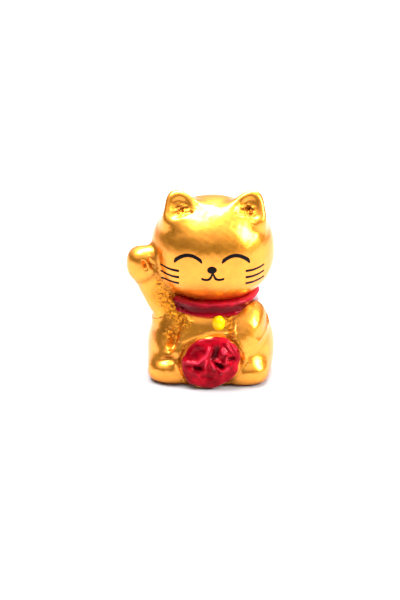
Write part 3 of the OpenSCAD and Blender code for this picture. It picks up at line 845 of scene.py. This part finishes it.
# The mouth rises to a peak under the nose and curls up a little at its ends:
# peak exp(-(|x| / peakHalf)^1.5) + curl (2x / width)^4
def makeMouth(name):
    m = mouthShape
    t = np.linspace(0, 1, 2 * inkShape["steps"])
    x = m["width"] * (t - 0.5)
    peak = m["peak"] * np.exp(-(np.abs(x) / m["peakHalf"]) ** 1.5)
    z = -noseShape["drop"] - m["drop"] + peak + m["curl"] * (2 * x / m["width"]) ** 4
    return makeStroke(name, x, z, m["stroke"] * roundEnds(t, m["ends"]))


# A whisker from its blunt inner end outwards: lift t^2 - sag sin(pi t), tapering
def makeWhisker(name, side, number):
    w = whiskerShape
    t = np.linspace(0, 1, inkShape["steps"])
    x = faceAside / 2 + side * (headHalf[0] - w["in"] - w["length"] * (1 - t))
    z = -w["top"] - (number - 1) * w["gap"] + w["lift"] * t * t - w["sag"] * np.sin(np.pi * t)
    blunt = np.sqrt(np.clip(1 - (1 - np.minimum(1, w["bluntness"] * t)) ** 2, 0.03, 1))
    return makeStroke(name, x, z, w["stroke"] * (1 - w["taper"] * t) * blunt)


pieces["right_eye"], pieces["left_eye"] = makeEye("right_eye", catRight), makeEye("left_eye", catLeft)
pieces["nose"], pieces["mouth"] = makeNose("nose"), makeMouth("mouth")
for number in (1, 2, 3):
    for sideName, side in (("right", catRight), ("left", catLeft)):
        name = f"{sideName}_whisker_{number}"
        pieces[name] = makeWhisker(name, side, number)
print("stage: face printed")


# A display colour as the linear light a shader wants
def linear(hexColour):
    channels = [int(hexColour[i:i + 2], 16) / 255 for i in (1, 3, 5)]
    return [c / 12.92 if c <= 0.04045 else ((c + 0.055) / 1.055) ** 2.4 for c in channels] + [1]


# A shader node: each input is a constant, or the output that it is linked to
def addNode(tree, kind, inputs=None, **settings):
    node = tree.nodes.new(kind)
    for key, value in settings.items():
        setattr(node, key, value)
    for key, value in (inputs or {}).items():
        if isinstance(value, bpy.types.NodeSocket):
            tree.links.new(value, node.inputs[key])
        else:
            node.inputs[key].default_value = value
    return node


# A material with its shader, and the place on the piece in object coordinates
def newMaterial(name):
    material = bpy.data.materials.new(name)
    material.use_nodes = True
    tree = material.node_tree
    shader = tree.nodes["Principled BSDF"]
    place = addNode(tree, "ShaderNodeTexCoord").outputs["Object"]
    return material, tree, shader, place


# Gold lacquer over cast resin: leafing metallic paint sprayed on, so it mirrors softly
# under a clear top coat, with fine flake grain. It lies duller and browner where it
# pooled in the creases, and that brown also serves as painted shade there; it clumps into
# dark and bright crumbs where the casting is rough.
# The contrasts are half the range of noise that is stretched from 0 to 1.
lacquer = {
    "gold": "#FAA128", "deep": "#E88A1A", "shade_and_pooling": "#8A4E12", "crumb": "#7C4810", "edge": "#FFC26A",
    "rough": 0.31, "roughLess": 0.05, "roughMore": 0.08, "creaseRough": 0.45, "metal": 0.93,
    "coat": 0.8, "coatRough": 0.22, "coatWorn": 0.9,
    "flakeMm": 0.28, "flakeHigh": 0.003, "flakeContrast": 0.22,
    "mottleMm": 1.6, "mottleContrast": 0.17, "mottleMost": 0.5,
    "crumbMm": 0.42, "crumbHigh": 0.035, "crumbContrast": 0.12, "crumbMost": 0.85, "crumbPower": 1.6,
}


def makeGoldLacquer():
    g = lacquer
    material, tree, shader, place = newMaterial("goldLacquer")

    def cloud(size, detail, contrast):       # 0 to 1, from noise of one size in mm
        noise = addNode(tree, "ShaderNodeTexNoise", {
            "Vector": place, "Scale": 1 / (size * mm), "Detail": detail, "Roughness": 0.58,
        }).outputs["Fac"]
        return addNode(tree, "ShaderNodeMapRange", {
            "Value": noise, "From Min": 0.5 - contrast, "From Max": 0.5 + contrast,
        }).outputs["Result"]

    def maths(kind, first, second):
        return addNode(tree, "ShaderNodeMath", {0: first, 1: second}, operation=kind).outputs[0]

    def blend(amount, first, second):
        return addNode(tree, "ShaderNodeMix", {0: amount, 6: first, 7: second}, data_type="RGBA").outputs[2]

    shade_and_pooling = addNode(tree, "ShaderNodeAttribute", attribute_name="shade_and_pooling").outputs["Fac"]
    rough = addNode(tree, "ShaderNodeAttribute", attribute_name="rough").outputs["Fac"]
    grain = cloud(g["flakeMm"], 3.0, g["flakeContrast"])
    mottle = cloud(g["mottleMm"], 4.0, g["mottleContrast"])
    crumb = cloud(g["crumbMm"], 4.0, g["crumbContrast"])
    pooledAndShaded = maths("POWER", shade_and_pooling, 2.0)
    crumbly = maths("MULTIPLY", rough, g["crumbMost"])
    crumbs = maths("MULTIPLY", crumbly, maths("POWER", crumb, g["crumbPower"]))
    colour = blend(maths("MULTIPLY", mottle, g["mottleMost"]), linear(g["gold"]), linear(g["deep"]))
    # Brown in the creases: pooled lacquer, and painted shade
    shadeAndPoolMix = maths("MULTIPLY", pooledAndShaded, maths("MULTIPLY", maths("ADD", grain, 0.8), 0.75))
    colour = blend(shadeAndPoolMix, colour, linear(g["shade_and_pooling"]))
    colour = blend(crumbs, colour, linear(g["crumb"]))
    roughOpen = addNode(tree, "ShaderNodeMapRange", {
        "Value": grain, "To Min": g["rough"] - g["roughLess"], "To Max": g["rough"] + g["roughMore"],
    }).outputs["Result"]
    dull = maths("MAXIMUM", pooledAndShaded, maths("MULTIPLY", rough, 0.5))
    roughnessNow = addNode(tree, "ShaderNodeMix", {0: dull, 2: roughOpen, 3: g["creaseRough"]},
                           data_type="FLOAT").outputs[0]
    flakes = maths("MULTIPLY", grain, maths("ADD", maths("MULTIPLY", pooledAndShaded, 2.5), 1.0))
    clumps = maths("MULTIPLY", maths("MULTIPLY", rough, crumb), -g["crumbHigh"] / g["flakeHigh"])
    bump = addNode(tree, "ShaderNodeBump", {
        "Height": maths("ADD", flakes, clumps), "Strength": 1.0, "Distance": g["flakeHigh"] * mm,
    }).outputs["Normal"]
    worn = maths("MULTIPLY", maths("MAXIMUM", pooledAndShaded, rough), -g["coatWorn"] * g["coat"])
    tree.links.new(colour, shader.inputs["Base Color"])
    tree.links.new(roughnessNow, shader.inputs["Roughness"])
    tree.links.new(bump, shader.inputs["Normal"])
    tree.links.new(maths("ADD", worn, g["coat"]), shader.inputs["Coat Weight"])
    shader.inputs["Metallic"].default_value = g["metal"]
    shader.inputs["Specular Tint"].default_value = linear(g["edge"])
    shader.inputs["Coat Roughness"].default_value = g["coatRough"]
    return material


# Brushed enamel: thick glossy paint, darker where it lies deep, which is partly painted shade, lighter where
# a painted highlight is laid on, with slow brush ripples
enamel = {
    # deep is painted shade where the paint also lies deep; edge is the colour of a painted highlight
    "red": {
        "thin": "#BA0A20", "thick": "#7E000E", "deep": "#4A0006", "edge": "#D2304A",
        "rough": 0.13, "gloss": 0.36, "glint": "#FF8088",
    },
    "yellow": {
        "thin": "#FFE000", "thick": "#FFC800", "deep": "#E8A800", "edge": "#FFE84A",
        "rough": 0.2, "gloss": 0.4, "glint": "#FFF0B0",
    },
    "rippleMm": 1.6, "rippleHeight": 0.012, "rippleContrast": 0.15,
}


# Enamel of one colour: thin to thick by the ripples, darker in creases and hollows as painted shade where the
# paint also lies deep, and lighter on crests as a painted highlight
def makeEnamelPaint(name, tones):
    material, tree, shader, place = newMaterial(name)
    shade_and_pooling = addNode(tree, "ShaderNodeAttribute", attribute_name="shade_and_pooling").outputs["Fac"]
    ripple = addNode(tree, "ShaderNodeTexNoise", {
        "Vector": place, "Scale": 1 / (enamel["rippleMm"] * mm), "Detail": 3.0, "Roughness": 0.5,
    }).outputs["Fac"]
    contrast = enamel["rippleContrast"]
    depth = addNode(tree, "ShaderNodeMapRange", {
        "Value": ripple, "From Min": 0.5 - contrast, "From Max": 0.5 + contrast,
    }).outputs["Result"]
    colour = addNode(tree, "ShaderNodeMix", {
        0: depth, 6: linear(tones["thick"]), 7: linear(tones["thin"])}, data_type="RGBA").outputs[2]
    colour = addNode(tree, "ShaderNodeMix", {
        0: shade_and_pooling, 6: colour, 7: linear(tones["deep"])}, data_type="RGBA").outputs[2]
    drawn = addNode(tree, "ShaderNodeAttribute", attribute_name="drawn").outputs["Fac"]
    colour = addNode(tree, "ShaderNodeMix", {
        0: drawn, 6: colour, 7: linear(tones["edge"])}, data_type="RGBA").outputs[2]
    bump = addNode(tree, "ShaderNodeBump", {
        "Height": ripple, "Strength": 1.0, "Distance": enamel["rippleHeight"] * mm}).outputs["Normal"]
    tree.links.new(colour, shader.inputs["Base Color"])
    tree.links.new(bump, shader.inputs["Normal"])
    shader.inputs["Roughness"].default_value = tones["rough"]
    shader.inputs["Specular IOR Level"].default_value = tones["gloss"]
    shader.inputs["Specular Tint"].default_value = linear(tones["glint"])
    return material


# Pad-printed ink: satin black, a little uneven in density, so it hardly shines
ink = {"dark": "#030202", "light": "#140E0C", "densityMm": 0.4, "rough": 0.45, "gloss": 0.1}


def makeInk():
    material, tree, shader, place = newMaterial("padInk")
    density = addNode(tree, "ShaderNodeTexNoise", {
        "Vector": place, "Scale": 1 / (ink["densityMm"] * mm), "Detail": 2.0}).outputs["Fac"]
    colour = addNode(tree, "ShaderNodeMix", {
        0: density, 6: linear(ink["dark"]), 7: linear(ink["light"])}, data_type="RGBA").outputs[2]
    tree.links.new(colour, shader.inputs["Base Color"])
    shader.inputs["Roughness"].default_value = ink["rough"]
    shader.inputs["Specular IOR Level"].default_value = ink["gloss"]
    return material


finishes = {
    "gold_lacquer": makeGoldLacquer(),
    "red_enamel": makeEnamelPaint("redEnamel", enamel["red"]),
    "yellow_enamel": makeEnamelPaint("yellowEnamel", enamel["yellow"]),
    "black_ink": makeInk(),
}
slotOf = {"collar": "red_enamel", "coin_enamel": "red_enamel", "bell": "yellow_enamel"}
for name, piece in pieces.items():
    inked = "eye" in name or "whisker" in name or name in ("nose", "mouth")
    slot = "black_ink" if inked else slotOf.get(name, "gold_lacquer")
    piece.data.materials.append(finishes[slot])
    piece.name = name + "_finish"
    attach(piece, "root")
    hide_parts(name)
print("stage: finishes set")

studio = {
    "elevation": 22, "lens": 150, "sensor": 36, "frameHigh": 126.6, "aim": (-2.28, 0, 14.9),
    "floorHalf": 1500, "floorColour": "#AAA9AB", "floorRough": 0.9,
    # the room: radiance at the horizon, overhead, and added behind
    "low": 0.075, "high": 1.4, "behind": 0.62, "riseSpan": (0.2, 0.95), "behindSpan": (0.2, 0.9),
}
softboxes = [
    {"name": "overheadPanel", "place": (-30, 150, 500), "size": (250, 660), "glow": 24, "spin": -52},
    {"name": "rightWindow", "place": (371, -121, 264), "size": (150, 260), "glow": 24, "spin": 0},
]


# A wide sheet of matt paper under the figurine
def makeFloor():
    mesh = bpy.data.meshes.new("floor")
    s = studio["floorHalf"] * mm
    mesh.from_pydata([(-s, -s, 0), (s, -s, 0), (s, s, 0), (-s, s, 0)], [], [(0, 1, 2, 3)])
    floor = bpy.data.objects.new("floor", mesh)
    bpy.context.scene.collection.objects.link(floor)
    material, tree, shader, place = newMaterial("whitePaper")
    shader.inputs["Base Color"].default_value = linear(studio["floorColour"])
    shader.inputs["Roughness"].default_value = studio["floorRough"]
    shader.inputs["Specular IOR Level"].default_value = 0.0
    mesh.materials.append(material)


# The camera stands back by lens/sensor times the height it frames, and looks down
def makeCamera():
    camera = bpy.data.objects.new("camera", bpy.data.cameras.new("camera"))
    camera.data.lens = studio["lens"]
    camera.data.clip_start = 0.01
    e = math.radians(studio["elevation"])
    away = studio["lens"] / studio["sensor"] * studio["frameHigh"] * mm
    aim = np.array(studio["aim"]) * mm
    camera.location = aim + away * np.array([0, -math.cos(e), math.sin(e)])
    camera.rotation_euler = (math.pi / 2 - e, 0, 0)
    bpy.context.scene.collection.objects.link(camera)
    bpy.context.scene.camera = camera


# A panel of even light that faces the figurine; glow is how bright its face is
def addSoftbox(name, place, size, glow, spin):
    lamp = bpy.data.lights.new(name, "AREA")
    lamp.shape, lamp.size, lamp.size_y = "RECTANGLE", size[0] * mm, size[1] * mm
    lamp.energy = glow * math.pi * size[0] * size[1] * mm * mm
    box = bpy.data.objects.new(name, lamp)
    box.location = np.array(place) * mm
    away = Vector(np.array(place, float) - [0, 0, 20])
    facing = away.to_track_quat("Z", "Y") @ Quaternion((0, 0, 1), math.radians(spin))
    box.rotation_euler = facing.to_euler()
    bpy.context.scene.collection.objects.link(box)


# The room is dim near the floor, brighter above, and brighter behind the figurine
def makeWorld():
    world = bpy.data.worlds.new("studioRoom")
    bpy.context.scene.world = world
    world.use_nodes = True
    tree = world.node_tree
    heading = addNode(tree, "ShaderNodeTexCoord").outputs["Generated"]
    across = addNode(tree, "ShaderNodeSeparateXYZ", {"Vector": heading}).outputs

    def ramp(value, span, low, high):
        return addNode(tree, "ShaderNodeMapRange", {
            "Value": value, "From Min": span[0], "From Max": span[1], "To Min": low, "To Max": high,
        }, interpolation_type="SMOOTHSTEP").outputs["Result"]

    rise = ramp(across["Z"], studio["riseSpan"], studio["low"], studio["high"])
    behind = ramp(across["Y"], studio["behindSpan"], 0.0, studio["behind"])
    both = addNode(tree, "ShaderNodeMath", {0: rise, 1: behind}, operation="ADD").outputs[0]
    background = tree.nodes["Background"]
    background.inputs["Color"].default_value = (1, 1, 1, 1)
    tree.links.new(both, background.inputs["Strength"])


makeFloor()
makeCamera()
makeWorld()
for softbox in softboxes:
    addSoftbox(**softbox)
bpy.context.scene.view_settings.view_transform = "Standard"
print("stage: studio set")
